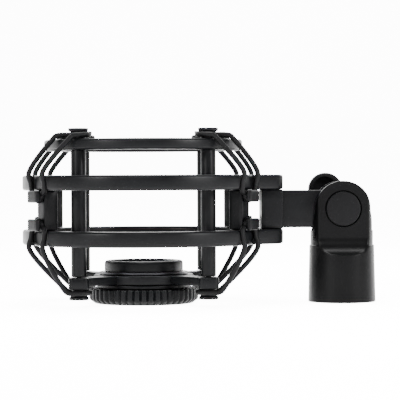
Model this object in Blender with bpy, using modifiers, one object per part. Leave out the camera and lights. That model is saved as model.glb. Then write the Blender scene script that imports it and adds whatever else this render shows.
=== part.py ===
"""Elastic shock mount for a side-address microphone, with a threaded lock ring and a swivel stand adapter.

An inner cage (top ring, four posts, spider plate) hangs on eight rubber loops inside an outer frame
(two rings, four pillars, arm). The arm swivels in a stand adapter and is clamped by a wing knob.
All named lengths are in millimetres; MM turns them into metres.
"""
import math

import bmesh
import bpy
from mathutils import Matrix

MM = 0.001
GAP = 0.3
MERGE = 0.00001

# Sides of the turned solids.
RING_SIDES = 48
HUB_SIDES = 32
PIVOT_SIDES = 20
POST_SIDES = 12
SCREW_SIDES = 8

# Places of the two upright axes and of the swivel.
CAGE_X = -20.7
PIVOT_X = 52.8
PIVOT_Z = 34.5
MID_Z = 34.5

# Inner cage.
TOP_RING_OUTER = 36.6
TOP_RING_INNER = 29.8
TOP_RING_LOW = 56.2
TOP_RING_HIGH = 60.2
POST_PITCH = 23.2
POST_RADIUS = 2.7
POST_BORE = 1.3
SPIDER_LOW = 7.4
PAD_LOW = 6.5
SPIDER_HIGH = 10.6
HUB_RADIUS = 18.5
SPOOL_NECK = 2.6
SPOOL_FLANGE = 3.6
SPOOL_TOP = 64.0
SPOOL_FOOT = 2.6
SCREW_HEAD = 1.9
SCREW_HEAD_HIGH = 1.1
SCREW_SHANK = 1.0
SCREW_RECESS = 2.2

# Lock ring and collar.
LOCK_RADIUS = 20.2
LOCK_HIGH = 5.6
FLUTES = 48
FLUTE_DEPTH = 0.6
COLLAR_RADIUS = 14.5
COLLAR_BORE = 12.0
COLLAR_HIGH = 15.8
RUN_RADIUS = 14.8

# Outer frame.
FRAME_OUTER = 44.6
FRAME_INNER = 38.1
LOWER_RING = (21.8, 27.3)
UPPER_RING = (41.7, 47.2)
PILLAR_ANGLE = math.radians(31.7)
PILLAR_RADIUS = 40.35
PILLAR_SIDE = 5.5
NOTCH_TURN = math.radians(6.4)
NOTCH_WIDTH = 3.2
NOTCH_FLOOR = 43.3
LUG_NECK = 2.6
LUG_WIDTH = 7.2
LUG_FACE = (45.2, 46.8)
LUG_SPAN = (2.9, 7.2)
NECK_SPAN = (5.7, 7.0)
NOSE_END = 51.4
NOSE_HALF = 9.0
ARM_HALF = 2.9
ARM_BLOCK_HALF = 8.0
ARM_BOLT_X = 46.4

# Elastic loops.
BAND_RADIUS = 0.8
BAND_SPOOL_LOOP = 3.85
BAND_LUG_LOOP = 2.3
BAND_LUG_CENTRE = 5.8
BAND_SPACING = 5.0

# Stand adapter.
BASE_RADIUS = 12.5
SHOULDER_RADIUS = 12.0
SHOULDER_Z = 20.8
HEAD_RADIUS = 11.6
HEAD_TOP_RADIUS = 10.3
FLAT_Y = 7.0
SLOT_HALF = 4.1
SLOT_FLOOR = 26.4
INSERT_RADIUS = 9.6
THREAD_RADIUS = 7.7
INSERT_HIGH = 14.0
BOLT_RADIUS = 3.0
CAP_RADIUS = 6.3
CAP_RECESS = 6.8
KNOB_LOBE = 6.4
KNOB_REACH = 8.3
KNOB_FACE = 13.4
KNOB_BACK = 18.4
KNOB_REST = math.radians(123.0)
CAP_DEPTH = 1.8
WASHER_THICK = 0.6

CORNERS = (("front_left", -1, -1), ("front_right", 1, -1), ("back_left", -1, 1), ("back_right", 1, 1))

SATIN = ("satin_black_metal", (0.012, 0.013, 0.015, 1.0), 0.38, 0.6)
RUBBER = ("black_rubber", (0.010, 0.010, 0.011, 1.0), 0.70, 0.0)
PLASTIC = ("black_plastic", (0.014, 0.014, 0.015, 1.0), 0.50, 0.0)
STEEL = ("black_steel", (0.030, 0.030, 0.032, 1.0), 0.35, 1.0)
BRASS = ("brass", (0.70, 0.50, 0.22, 1.0), 0.35, 1.0)
NYLON = ("nylon", (0.60, 0.60, 0.58, 1.0), 0.55, 0.0)


def clear_scene():
    """Remove every object already in the file."""
    for item in list(bpy.data.objects):
        bpy.data.objects.remove(item, do_unlink=True)


def new_collection(name):
    """Make a collection in the scene."""
    group = bpy.data.collections.new(name)
    bpy.context.scene.collection.children.link(group)
    return group


def material_for(name, finish):
    """One Principled material with the finish's colour, roughness and metallic value."""
    label, colour, roughness, metallic = finish
    material = bpy.data.materials.new(f"{name}_{label}")
    material.use_nodes = True
    shader = material.node_tree.nodes["Principled BSDF"]
    shader.inputs["Base Color"].default_value = colour
    shader.inputs["Roughness"].default_value = roughness
    shader.inputs["Metallic"].default_value = metallic
    material.diffuse_color = colour
    return material


def place(name, mesh, finish, at=(0, 0, 0)):
    """Put a mesh in the scene as a part, or as a cutter when it has no finish."""
    item = bpy.data.objects.new(name, mesh)
    item.location = [value * MM for value in at]
    if finish is None:
        CUTTERS.objects.link(item)
        item.hide_render = True
        item.display_type = "WIRE"
    else:
        PARTS.objects.link(item)
        mesh.materials.append(material_for(name, finish))
    return item


def turned(name, profile, finish, at=(0, 0, 0), steps=48, along_y=False):
    """Turn a profile of (radius, height) points about Z, or about Y with height along +Y."""
    mesh = bpy.data.meshes.new(name)
    points = [(radius * MM, 0.0, height * MM) for radius, height in profile]
    closed = profile[0][0] > 0
    edges = [(i, i + 1) for i in range(len(points) - 1)]
    if closed:
        edges.append((len(points) - 1, 0))
    mesh.from_pydata(points, edges, [])
    item = place(name, mesh, finish, at)
    if along_y:
        item.rotation_euler = (-math.pi / 2, 0, 0)
    screw = item.modifiers.new("Turn", "SCREW")
    screw.steps = steps
    screw.render_steps = steps
    screw.use_merge_vertices = True
    screw.merge_threshold = MERGE
    screw.use_smooth_shade = False
    return item


def tube_profile(outer, inner, low, high):
    """Closed profile of a tube: down the outer side and up the inner side."""
    return [(outer, high), (outer, low), (inner, low), (inner, high)]


def rod_profile(radius, low, high):
    """Profile of a plain rod, ending on the axis."""
    return [(0, high), (radius, high), (radius, low), (0, low)]


def box(name, low, high, finish, turn=0.0, at=(0, 0, 0)):
    """A box between two corners, turned about Z at its place."""
    mesh = bpy.data.meshes.new(name)
    shape = bmesh.new()
    size = [(high[i] - low[i]) * MM for i in range(3)]
    centre = [(high[i] + low[i]) / 2 * MM for i in range(3)]
    bmesh.ops.create_cube(shape, size=1.0)
    bmesh.ops.scale(shape, vec=size, verts=shape.verts)
    bmesh.ops.translate(shape, vec=centre, verts=shape.verts)
    shape.to_mesh(mesh)
    shape.free()
    item = place(name, mesh, finish, at)
    item.rotation_euler = (0, 0, turn)
    return item


def arc(centre, radius, start, end, count):
    """Points along an arc in a plane, angles in degrees."""
    turns = [math.radians(start + (end - start) * i / (count - 1)) for i in range(count)]
    return [(centre[0] + radius * math.cos(t), centre[1] + radius * math.sin(t)) for t in turns]


def extruded(name, outline, low, high, finish, at=(0, 0, 0), facing="Z"):
    """A flat closed outline given thickness; facing is the axis that the thickness runs along."""
    curve = bpy.data.curves.new(name, "CURVE")
    curve.dimensions = "2D"
    curve.fill_mode = "BOTH"
    curve.extrude = (high - low) / 2 * MM
    spline = curve.splines.new("POLY")
    spline.points.add(len(outline) - 1)
    for point, (u, v) in zip(spline.points, outline):
        point.co = (u * MM, v * MM, 0, 1)
    spline.use_cyclic_u = True
    source = bpy.data.objects.new(name + "_outline", curve)
    bpy.context.scene.collection.objects.link(source)
    bpy.context.view_layer.update()
    evaluated = source.evaluated_get(bpy.context.evaluated_depsgraph_get())
    mesh = bpy.data.meshes.new_from_object(evaluated)
    bpy.data.objects.remove(source)
    mesh.name = name
    shape = bmesh.new()
    shape.from_mesh(mesh)
    bmesh.ops.remove_doubles(shape, verts=shape.verts, dist=MERGE)
    bmesh.ops.translate(shape, vec=(0, 0, (high + low) / 2 * MM), verts=shape.verts)
    if facing == "Y":
        bmesh.ops.transform(shape, matrix=Matrix(((1, 0, 0), (0, 0, 1), (0, 1, 0))).to_4x4(), verts=shape.verts)
    if facing == "X":
        bmesh.ops.transform(shape, matrix=Matrix(((0, 0, 1), (1, 0, 0), (0, 1, 0))).to_4x4(), verts=shape.verts)
    bmesh.ops.recalc_face_normals(shape, faces=shape.faces)
    shape.to_mesh(mesh)
    shape.free()
    return place(name, mesh, finish, at)


def boolean(item, tool, operation, solver="EXACT"):
    """Cut, join or intersect with a tool, which is kept as a cutter."""
    modifier = item.modifiers.new(operation.title(), "BOOLEAN")
    modifier.operation = operation
    modifier.object = tool
    modifier.solver = solver
    return item


def screw_profile(top, length, up=True):
    """Profile of a screw whose head's outer face is at top; up means the head is on top."""
    sign = -1 if up else 1
    steps = [
        (0, top), (SCREW_HEAD, top), (SCREW_HEAD, top + sign * SCREW_HEAD_HIGH), (SCREW_SHANK, top + sign * SCREW_HEAD_HIGH),
        (SCREW_SHANK, top + sign * length), (0, top + sign * length),
    ]
    return steps if up else steps[::-1]


def make_top_ring():
    ring = turned("top_ring", tube_profile(TOP_RING_OUTER, TOP_RING_INNER, TOP_RING_LOW, TOP_RING_HIGH),
                  SATIN, (CAGE_X, 0, 0), RING_SIDES)
    for label, sx, sy in CORNERS:
        hole = turned(f"cut_top_ring_{label}", rod_profile(POST_BORE, TOP_RING_LOW - 2, TOP_RING_HIGH + 2), None,
                      (CAGE_X + sx * POST_PITCH, sy * POST_PITCH, 0), SCREW_SIDES)
        boolean(ring, hole, "DIFFERENCE")


def make_posts_and_spools():
    for label, sx, sy in CORNERS:
        at = (CAGE_X + sx * POST_PITCH, sy * POST_PITCH, 0)
        turned(f"post_{label}", tube_profile(POST_RADIUS, POST_BORE, SPIDER_HIGH + GAP, TOP_RING_LOW - GAP),
               SATIN, at, POST_SIDES)
        turned(f"top_spool_{label}", [
            (SPOOL_FLANGE, SPOOL_TOP), (SPOOL_FLANGE, SPOOL_TOP - 1.0), (SPOOL_NECK, SPOOL_TOP - 1.2),
            (SPOOL_NECK, TOP_RING_HIGH + GAP), (POST_BORE, TOP_RING_HIGH + GAP),
            (POST_BORE, SPOOL_TOP - 1.6), (SCREW_RECESS, SPOOL_TOP - 1.6), (SCREW_RECESS, SPOOL_TOP),
        ], SATIN, at, POST_SIDES)
        turned(f"bottom_spool_{label}", [
            (SPOOL_NECK, PAD_LOW - GAP), (SPOOL_NECK, SPOOL_FOOT + 1.2), (SPOOL_FLANGE, SPOOL_FOOT + 1.0),
            (SPOOL_FLANGE, SPOOL_FOOT), (SCREW_RECESS, SPOOL_FOOT), (SCREW_RECESS, SPOOL_FOOT + 1.6),
            (POST_BORE, SPOOL_FOOT + 1.6), (POST_BORE, PAD_LOW - GAP),
        ], SATIN, at, POST_SIDES)
        turned(f"top_screw_{label}", screw_profile(SPOOL_TOP - 0.2, 14.0), STEEL, at, SCREW_SIDES)
        turned(f"bottom_screw_{label}", screw_profile(SPOOL_FOOT + 0.2, 14.0, up=False), STEEL, at, SCREW_SIDES)


def make_spider():
    plate = turned("spider_plate", tube_profile(HUB_RADIUS, RUN_RADIUS, SPIDER_LOW, SPIDER_HIGH), SATIN,
                   (CAGE_X, 0, 0), HUB_SIDES)
    reach = POST_PITCH * math.sqrt(2)
    for label, sx, sy in CORNERS:
        angle = math.atan2(sy, sx)
        bar = box(f"join_arm_{label}", (16.4, -4.2, SPIDER_LOW), (reach, 4.2, SPIDER_HIGH), None, angle,
                  (CAGE_X, 0, 0))
        boolean(plate, bar, "UNION")
        corner = 1.6
        half_x, half_y = 3.6, 4.8
        outline = []
        for ux, uy, start in ((1, 1, 0), (-1, 1, 90), (-1, -1, 180), (1, -1, 270)):
            outline += arc((ux * (half_x - corner), uy * (half_y - corner)), corner, start, start + 90, 4)
        at = (CAGE_X + sx * POST_PITCH, sy * POST_PITCH, 0)
        pad = extruded(f"join_pad_{label}", outline, PAD_LOW, SPIDER_HIGH - 0.001, None, at)
        boolean(plate, pad, "UNION")
        hole = turned(f"cut_spider_{label}", rod_profile(POST_BORE, 0, SPIDER_HIGH + 4), None, at, SCREW_SIDES)
        boolean(plate, hole, "DIFFERENCE")


def make_lock_ring():
    low, step = 1.4, 1.5
    count = FLUTES * 2
    shape_points = []
    for i in range(count):
        turn = 2 * math.pi * i / count
        radius = LOCK_RADIUS - (FLUTE_DEPTH if i % 2 else 0.0)
        shape_points.append((radius * math.cos(turn), radius * math.sin(turn)))
    ring = extruded("knurled_lock_ring", shape_points, 0.0, LOCK_HIGH, SATIN, (CAGE_X, 0, 0))
    bore = turned("cut_lock_bore", rod_profile(RUN_RADIUS, -2, LOCK_HIGH + 2), None, (CAGE_X, 0, 0), HUB_SIDES)
    boolean(ring, bore, "DIFFERENCE")
    chamfer = turned("cut_lock_chamfer", [
        (LOCK_RADIUS + 3, low), (LOCK_RADIUS + 3, -1), (LOCK_RADIUS - 2.2 - step / 2, -1), (LOCK_RADIUS - 2.2, 0),
        (LOCK_RADIUS - FLUTE_DEPTH, low),
    ], None, (CAGE_X, 0, 0), HUB_SIDES)
    boolean(ring, chamfer, "DIFFERENCE")
    turned("threaded_collar", [
        (COLLAR_RADIUS - 1.3, COLLAR_HIGH), (COLLAR_RADIUS - 0.4, COLLAR_HIGH - 0.4),
        (COLLAR_RADIUS, COLLAR_HIGH - 1.3), (COLLAR_RADIUS, 12.0), (13.4, 12.0), (13.4, 10.6),
        (COLLAR_RADIUS, 10.6), (COLLAR_RADIUS, 0.8), (COLLAR_BORE, 0.8), (COLLAR_BORE, COLLAR_HIGH),
    ], SATIN, (CAGE_X, 0, 0), HUB_SIDES)
    turned("collar_retaining_ring", tube_profile(16.4, 13.7, 10.9, 11.7), STEEL, (CAGE_X, 0, 0), HUB_SIDES)
    turned("slip_washer", tube_profile(17.8, 15.2, LOCK_HIGH + GAP, SPIDER_LOW - GAP), NYLON, (CAGE_X, 0, 0), HUB_SIDES)


def pillar_turn(sx, sy):
    """Direction of a pillar from the cage axis, in radians."""
    return math.atan2(sy * math.sin(PILLAR_ANGLE), sx * math.cos(PILLAR_ANGLE))


def make_outer_ring(name, span):
    low, high = span
    ring = turned(name, tube_profile(FRAME_OUTER, FRAME_INNER, low, high), SATIN, (CAGE_X, 0, 0), RING_SIDES)
    root_x, root_y, corner = 40.6, 16.4, 2.2
    outline = [(root_x, -root_y)]
    outline += arc((NOSE_END - corner, -NOSE_HALF + corner), corner, -60, 0, 4)
    outline += arc((NOSE_END - corner, NOSE_HALF - corner), corner, 0, 60, 4)
    outline.append((root_x, root_y))
    nose = extruded(f"join_nose_{name}", outline, low + 0.01, high - 0.01, None, (CAGE_X, 0, 0))
    boolean(ring, nose, "UNION")
    for label, sx, sy in CORNERS:
        middle = pillar_turn(sx, sy)
        for side in (-1, 1):
            notch = box(f"cut_notch_{name}_{label}_{side + 1}", (NOTCH_FLOOR, -NOTCH_WIDTH / 2, low - 2),
                        (FRAME_OUTER + 4, NOTCH_WIDTH / 2, high + 2), None, middle + side * NOTCH_TURN,
                        (CAGE_X, 0, 0))
            boolean(ring, notch, "DIFFERENCE")
        x = CAGE_X + PILLAR_RADIUS * math.cos(middle)
        y = PILLAR_RADIUS * math.sin(middle)
        boolean(ring, turned(f"cut_screw_{name}_{label}", screw_hole(span), None, (x, y, 0), SCREW_SIDES), "DIFFERENCE")
    boolean(ring, turned(f"cut_screw_{name}_arm", screw_hole(span), None, (CAGE_X + ARM_BOLT_X, 0, 0), SCREW_SIDES), "DIFFERENCE")


def screw_hole(span):
    """Hole of a frame bolt: counterbored for the head in the upper ring, plain in the lower one."""
    low, high = span
    if low < MID_Z:
        return rod_profile(POST_BORE, low - 2, high + 2)
    return [(0, high + 2), (SCREW_RECESS, high + 2), (SCREW_RECESS, high - 1.8), (POST_BORE, high - 1.8),
            (POST_BORE, low - 2), (0, low - 2)]


def make_pillars():
    low = LOWER_RING[1] + GAP
    high = UPPER_RING[0] - GAP
    half = PILLAR_SIDE / 2
    for label, sx, sy in CORNERS:
        turn = pillar_turn(sx, sy)
        at = (CAGE_X, 0, 0)
        inner = PILLAR_RADIUS - half
        outer = PILLAR_RADIUS + half
        pillar = box(f"pillar_{label}", (inner, -half, low), (outer, half, high), SATIN, turn, at)
        bore = turned(f"cut_pillar_{label}", rod_profile(1.3, low - 2, high + 2), None,
                      (CAGE_X + PILLAR_RADIUS * math.cos(turn), PILLAR_RADIUS * math.sin(turn), 0), SCREW_SIDES)
        for side in (-1, 1):
            near, far = sorted((MID_Z + side * LUG_SPAN[0], MID_Z + side * LUG_SPAN[1]))
            neck_low, neck_high = sorted((MID_Z + side * NECK_SPAN[0], MID_Z + side * NECK_SPAN[1]))
            neck = box(f"join_neck_{label}_{side + 1}", (outer - 1.0, -LUG_NECK / 2, neck_low),
                       (LUG_FACE[0] + 0.5, LUG_NECK / 2, neck_high), None, turn, at)
            head = box(f"join_lug_{label}_{side + 1}", (LUG_FACE[0], -LUG_WIDTH / 2, near),
                       (LUG_FACE[1], LUG_WIDTH / 2, far), None, turn, at)
            boolean(pillar, neck, "UNION")
            boolean(pillar, head, "UNION")
        boolean(pillar, bore, "DIFFERENCE")


def make_frame_bolts():
    top = UPPER_RING[1] - 0.3
    length = top - LOWER_RING[0] - 0.4
    turned("frame_bolt_arm", screw_profile(top, length), STEEL, (CAGE_X + ARM_BOLT_X, 0, 0), SCREW_SIDES)
    for label, sx, sy in CORNERS:
        turn = pillar_turn(sx, sy)
        at = (CAGE_X + PILLAR_RADIUS * math.cos(turn), PILLAR_RADIUS * math.sin(turn), 0)
        turned(f"frame_bolt_{label}", screw_profile(top, length), STEEL, at, SCREW_SIDES)


def make_arm():
    reach = 7.0
    low = LOWER_RING[1] + GAP
    high = UPPER_RING[0] - GAP
    start = CAGE_X + 43.3
    outline = [(start, low)] + arc((PIVOT_X, PIVOT_Z), (high - low) / 2, -90, 90, 17) + [(start, high)]
    arm = extruded("arm_bracket", outline, -ARM_HALF, ARM_HALF, SATIN, (0, 0, 0), "Y")
    block = box("join_arm_block", (start + 0.01, -ARM_BLOCK_HALF, low + 0.01),
                (CAGE_X + NOSE_END - 0.3, ARM_BLOCK_HALF, high - 0.01), None)
    boolean(arm, block, "UNION")
    pivot = turned("cut_arm_pivot", rod_profile(BOLT_RADIUS + GAP, -reach, reach), None,
                   (PIVOT_X, 0, PIVOT_Z), PIVOT_SIDES, along_y=True)
    boolean(arm, pivot, "DIFFERENCE")
    bore = turned("cut_arm_screws", rod_profile(1.3, low - 2, high + 2), None, (CAGE_X + ARM_BOLT_X, 0, 0), SCREW_SIDES)
    boolean(arm, bore, "DIFFERENCE")


def smooth_route(points, spacing):
    """Points at an even spacing along a Catmull-Rom curve through a closed list of route points."""
    count = len(points)
    route = []
    for i in range(count):
        a, b, c, d = (points[(i + k - 1) % count] for k in range(4))
        length = math.dist(b, c)
        pieces = max(1, round(length / spacing))
        for step in range(pieces):
            t = step / pieces
            route.append(tuple(
                0.5 * (2 * b[k] + (c[k] - a[k]) * t + (2 * a[k] - 5 * b[k] + 4 * c[k] - d[k]) * t * t
                       + (3 * b[k] - a[k] - 3 * c[k] + d[k]) * t ** 3)
                for k in range(3)
            ))
    return route


def band_route(upper):
    """Route of one rubber loop at the front left corner, measured from the cage axis, in millimetres."""
    loop = BAND_SPOOL_LOOP
    post = -POST_PITCH
    if upper:
        spool_z, edge_z, bends = 61.6, 61.35, {1: -31.2, -1: -24.9}
        drop_x, drop_z, ring_z, ring_mid = 1.1, -1.0, 47.9, 44.4
    else:
        spool_z, edge_z, bends = 5.1, 5.25, {1: -26.9, -1: -26.9}
        drop_x, drop_z, ring_z, ring_mid = 1.15, 0.9, 21.1, 24.6
    side_up = 1 if upper else -1

    def on_lug(radius, across, height):
        turn = math.pi + PILLAR_ANGLE
        x = radius * math.cos(turn) - across * math.sin(turn)
        y = radius * math.sin(turn) + across * math.cos(turn)
        return (x, y, height)

    strand = {}
    for side in (1, -1):
        y = post + side * loop
        bend = bends[side]
        strand[side] = [
            (post - 0.3, y, spool_z), (bend, y, edge_z), (bend - drop_x, y, edge_z + drop_z),
            on_lug(45.25, -side * 5.0, ring_z), on_lug(44.5, -side * 4.9, ring_mid),
            on_lug(44.2, -side * 4.5, MID_Z + side_up * 7.0),
        ] + [
            on_lug(44.15, -side * BAND_LUG_LOOP * math.cos(t),
                   MID_Z + side_up * (BAND_LUG_CENTRE - BAND_LUG_LOOP * math.sin(t)))
            for t in (0.0, math.pi / 6, math.pi / 3)
        ]
    around_spool = [(post + loop * math.cos(t), post - loop * math.sin(t), spool_z)
                    for t in (-math.pi / 2 * 0.5, 0.0, math.pi / 2 * 0.5)]
    under_lug = on_lug(44.15, 0.0, MID_Z + side_up * (BAND_LUG_CENTRE - BAND_LUG_LOOP))
    return strand[1][::-1] + around_spool + strand[-1] + [under_lug]


def make_bands():
    for label, sx, sy in CORNERS:
        for level, upper in (("upper", True), ("lower", False)):
            route = [(CAGE_X - sx * x, -sy * y, z) for x, y, z in smooth_route(band_route(upper), BAND_SPACING)]
            curve = bpy.data.curves.new(f"{level}_band_{label}", "CURVE")
            curve.dimensions = "3D"
            curve.bevel_depth = BAND_RADIUS * MM
            curve.bevel_resolution = 1
            spline = curve.splines.new("POLY")
            spline.points.add(len(route) - 1)
            for point, place_at in zip(spline.points, route):
                point.co = (*[value * MM for value in place_at], 1)
            spline.use_cyclic_u = True
            band = bpy.data.objects.new(f"{level}_band_{label}", curve)
            PARTS.objects.link(band)
            curve.materials.append(material_for(curve.name, RUBBER))


def make_adapter():
    top = PIVOT_Z + HEAD_TOP_RADIUS
    body = turned("adapter_body", [
        (0, top + 2), (HEAD_RADIUS, top + 2), (HEAD_RADIUS, SHOULDER_Z + 0.5), (SHOULDER_RADIUS, SHOULDER_Z),
        (BASE_RADIUS, 0.5), (BASE_RADIUS - 0.5, 0), (0, 0),
    ], SATIN, (PIVOT_X, 0, 0), RING_SIDES)
    wide = HEAD_RADIUS + 2
    flare = HEAD_RADIUS - 0.13
    outline = [(-wide, -1), (wide, -1), (wide, PIVOT_Z - 12), (flare, PIVOT_Z - 8)]
    outline += arc((0, PIVOT_Z), HEAD_TOP_RADIUS, 0, 180, 25)
    outline += [(-flare, PIVOT_Z - 8), (-wide, PIVOT_Z - 12)]
    crown = extruded("keep_crown", outline, -20, 20, None, (PIVOT_X, 0, 0), "Y")
    boolean(body, crown, "INTERSECT", "MANIFOLD")
    slot = box("cut_slot", (-20, -SLOT_HALF, SLOT_FLOOR), (20, SLOT_HALF, top + 5), None, 0.0, (PIVOT_X, 0, 0))
    boolean(body, slot, "DIFFERENCE", "MANIFOLD")
    for side in (-1, 1):
        runout = arc((FLAT_Y + 6.6, 24.0), 6.6, 180, 260, 7)
        cheek = [(side * y, z) for y, z in [(FLAT_Y, top + 5)] + runout + [(20, 17.4), (20, top + 5)]]
        flat = extruded(f"cut_flat_{side + 1}", cheek, -20, 20, None, (PIVOT_X, 0, 0), "X")
        boolean(body, flat, "DIFFERENCE", "MANIFOLD")
    bore = turned("cut_thread_bore", rod_profile(INSERT_RADIUS + GAP, -2, INSERT_HIGH + GAP), None,
                  (PIVOT_X, 0, 0), HUB_SIDES)
    boolean(body, bore, "DIFFERENCE", "MANIFOLD")
    hole = turned("cut_pivot_hole", rod_profile(BOLT_RADIUS + GAP, -20, 20), None,
                  (PIVOT_X, 0, PIVOT_Z), PIVOT_SIDES, along_y=True)
    boolean(body, hole, "DIFFERENCE", "MANIFOLD")
    recess = turned("cut_cap_recess", rod_profile(CAP_RECESS, -20, -FLAT_Y + CAP_DEPTH), None,
                    (PIVOT_X, 0, PIVOT_Z), HUB_SIDES, along_y=True)
    boolean(body, recess, "DIFFERENCE", "MANIFOLD")
    turned("thread_insert", tube_profile(INSERT_RADIUS, THREAD_RADIUS, 0.2, INSERT_HIGH), STEEL,
           (PIVOT_X, 0, 0), HUB_SIDES)
    pivot = (PIVOT_X, 0, PIVOT_Z)
    turned("pivot_bolt", rod_profile(BOLT_RADIUS, -FLAT_Y + CAP_DEPTH + GAP, KNOB_BACK - 1.2), STEEL, pivot, PIVOT_SIDES, along_y=True)
    turned("pivot_cap", [
        (0, -FLAT_Y + CAP_DEPTH - GAP), (CAP_RADIUS, -FLAT_Y + CAP_DEPTH - GAP), (CAP_RADIUS, -FLAT_Y),
        (CAP_RADIUS - 0.4, -FLAT_Y - 0.3), (0, -FLAT_Y - 0.3),
    ], PLASTIC, pivot, HUB_SIDES, along_y=True)
    for label, near in (("front", -ARM_HALF - GAP - WASHER_THICK), ("back", ARM_HALF + GAP)):
        turned(f"friction_washer_{label}", tube_profile(6.5, BOLT_RADIUS + GAP, near, near + WASHER_THICK), NYLON,
               pivot, PIVOT_SIDES, along_y=True)


def make_knob():
    pivot = (PIVOT_X, 0, PIVOT_Z)
    hub = turned("wing_knob", rod_profile(6.4, FLAT_Y + GAP, KNOB_FACE + 1.5), PLASTIC, pivot, HUB_SIDES, along_y=True)
    outline = []
    for side in (0, 180):
        centre = (KNOB_REACH * math.cos(math.radians(side)), 0)
        outline += arc(centre, KNOB_LOBE, side - 105, side + 105, 15)
    cos_rest, sin_rest = math.cos(KNOB_REST), math.sin(KNOB_REST)
    outline = [(u * cos_rest - v * sin_rest, u * sin_rest + v * cos_rest) for u, v in outline]
    wings = extruded("join_wings", outline, KNOB_FACE, KNOB_BACK, None, pivot, "Y")
    boolean(hub, wings, "UNION")
    for index, side in enumerate((-1, 1)):
        at = (PIVOT_X + side * (KNOB_REACH + 0.6) * cos_rest, 0, PIVOT_Z + side * (KNOB_REACH + 0.6) * sin_rest)
        hollow = turned(f"cut_lobe_{index}", rod_profile(KNOB_LOBE - 2.4, KNOB_FACE - 2, KNOB_BACK - 1.5), None,
                        at, PIVOT_SIDES, along_y=True)
        boolean(hub, hollow, "DIFFERENCE")
    bore = turned("cut_knob_bore", rod_profile(4.7, 0, KNOB_FACE + 0.3), None, pivot, PIVOT_SIDES, along_y=True)
    boolean(hub, bore, "DIFFERENCE")
    stem = turned("cut_knob_stem", rod_profile(BOLT_RADIUS + GAP, 0, KNOB_BACK - 0.9), None, pivot, PIVOT_SIDES, along_y=True)
    boolean(hub, stem, "DIFFERENCE")
    turned("knob_insert", tube_profile(4.4, BOLT_RADIUS + GAP, FLAT_Y + 0.6, KNOB_FACE), BRASS, pivot, PIVOT_SIDES,
           along_y=True)


clear_scene()
PARTS = new_collection("shock_mount")
CUTTERS = new_collection("cutters")
make_top_ring()
make_posts_and_spools()
make_spider()
make_lock_ring()
make_outer_ring("lower_outer_ring", LOWER_RING)
make_outer_ring("upper_outer_ring", UPPER_RING)
make_pillars()
make_frame_bolts()
make_arm()
make_bands()
make_adapter()
make_knob()
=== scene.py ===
"""Fine surfaces, finishes and studio for an elastic microphone shock mount with a swivel stand adapter."""
import math

import bmesh
import bpy
import numpy as np
from mathutils import Matrix, Vector


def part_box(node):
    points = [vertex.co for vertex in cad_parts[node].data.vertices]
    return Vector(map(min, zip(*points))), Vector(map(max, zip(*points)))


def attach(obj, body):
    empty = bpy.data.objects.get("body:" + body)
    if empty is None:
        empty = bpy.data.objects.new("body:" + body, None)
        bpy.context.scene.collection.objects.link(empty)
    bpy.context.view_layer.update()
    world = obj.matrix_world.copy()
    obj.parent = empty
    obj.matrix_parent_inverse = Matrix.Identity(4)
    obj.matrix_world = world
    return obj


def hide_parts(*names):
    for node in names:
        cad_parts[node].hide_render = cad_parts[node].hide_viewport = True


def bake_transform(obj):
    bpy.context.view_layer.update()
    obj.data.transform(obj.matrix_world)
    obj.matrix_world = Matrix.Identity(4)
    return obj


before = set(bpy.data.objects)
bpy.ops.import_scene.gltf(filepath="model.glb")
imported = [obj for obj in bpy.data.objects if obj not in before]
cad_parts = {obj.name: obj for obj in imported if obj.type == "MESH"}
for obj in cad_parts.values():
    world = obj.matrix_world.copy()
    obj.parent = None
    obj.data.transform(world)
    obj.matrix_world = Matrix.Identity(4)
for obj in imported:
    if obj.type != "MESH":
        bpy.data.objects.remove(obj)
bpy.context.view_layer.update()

bl_info = {
    "name": "Elastic shock mount",
    "version": (1, 0, 0),
    "blender": (4, 5, 0),
    "location": "View3D > Sidebar > Shock Mount",
    "description": "Builds the fine surfaces of an elastic microphone shock mount around its solid model",
    "category": "Add Mesh",
}

MM = 0.001
CORNERS = (("front_left", -1, -1), ("front_right", 1, -1), ("back_left", -1, 1), ("back_right", 1, 1))

# Edges turned more sharply than SHARP stay crisp. Two lengths less than HAIR apart are the same.
SHARP = math.radians(38.0)
HAIR = 1e-6

# Inner cage and lock ring, in millimetres. SEAM closes the gap that the solids leave between stacked pieces.
TOP_RING_WALL = 6.8
POST_RADIUS = 2.7
POST_BORE = 1.3
SPOOL_NECK = 2.6
UPPER_FLANGE = 3.6
LOWER_FLANGE = 3.5
SEAM = 0.25
HUB_RADIUS = 18.5
HUB_BORE = 14.8
HUB_RISE = 0.9
SPIDER_ARM_START = 16.2
SPIDER_ARM_HALF = 4.2
PAD_HALVES = (3.6, 4.8)
COLLAR_BORE = 12.0
COLLAR_PITCH = 1.0
GROOVE_RADIUS = 13.4
GROOVE_LOW = 10.6
GROOVE_HIGH = 12.0

# Outer frame, in millimetres and radians.
RING_WALL = 6.5
PILLAR_TURN = math.radians(31.7)
PILLAR_RADIUS = 40.35
PILLAR_HALF = 2.75
LUG_FACE = (45.2, 46.8)
LUG_HALF = 3.6
LUG_SPAN = (2.9, 7.2)
LUG_NECK_END = 45.9
LUG_NECK_HALF = 1.3
LUG_NECK_SPAN = (5.7, 7.0)
NOTCH_TURN = math.radians(6.4)
NOTCH_HALF = 1.6
NOTCH_DEPTH = 1.3
LAND_DEPTH = 0.75
NOTCH_SLOPE = 0.22
NOSE_SIDE_TURN = math.radians(52.0)
NOSE_SPREAD = math.radians(26.0)
NOSE_HALF = 8.4
NOSE_BLUNT = 1.3
TONGUE_HALF = 2.9
BLOCK_HALF = 8.0

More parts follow.
